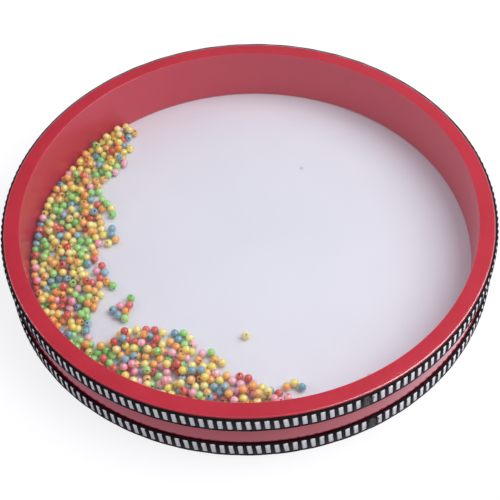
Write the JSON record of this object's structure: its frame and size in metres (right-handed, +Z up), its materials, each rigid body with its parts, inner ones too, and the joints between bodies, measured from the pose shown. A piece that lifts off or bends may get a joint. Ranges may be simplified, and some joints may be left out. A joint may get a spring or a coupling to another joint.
{
  "type": "ocean drum",
  "caption": "Flat round hand drum with a red wooden hoop, a clear film head above, a white film head below and loose coloured beads inside that swash like surf when it is tilted.",
  "frame": {"origin": "middle of the white head's underside, where the drum rests", "axes": "+Z up through the drum's axis, from the white head to the clear head"},
  "size_m": [0.2502, 0.2502, 0.0317],
  "materials": {
    "hoop_paint": "bent wood under gloss red paint",
    "clear_film": "clear polyester film",
    "white_film": "white polyester film, satin",
    "staple_wire": "galvanised flat wire",
    "black_braid": "black woven braid",
    "white_braid": "white satin thread",
    "yellow_bead": "pearly",
    "orange_bead": "pearly",
    "red_bead": "pearly",
    "pink_bead": "pearly",
    "green_bead": "pearly",
    "blue_bead": "pearly"
  },
  "bodies": {
    "drum": {"frame_hoop": "hoop_paint", "clear_head": "clear_film", "white_head": "white_film", "upper_head_staples": "staple_wire", "lower_head_staples": "staple_wire", "upper_braid_band": "black_braid", "upper_braid_cords": "black_braid", "upper_braid_bars": "white_braid", "lower_braid_band": "black_braid", "lower_braid_cords": "black_braid", "lower_braid_bars": "white_braid"},
    "lone_bead": {"lone_bead": "yellow_bead"},
    "bead_bank": {"beads_yellow": "yellow_bead", "beads_orange": "orange_bead", "beads_red": "red_bead", "beads_pink": "pink_bead", "beads_green": "green_bead", "beads_blue": "blue_bead"}
  },
  "joints": [
    {"name": "bead_drop", "type": "slide", "parent": "drum", "child": "lone_bead", "axis": [0, 0, 1], "range_m": [0, 0.023]},
    {"name": "bead_sweep", "type": "hinge", "parent": "lone_bead", "child": "bead_bank", "pos_m": [0, 0, 0], "axis": [0, 0, 1], "continuous": true}
  ]
}
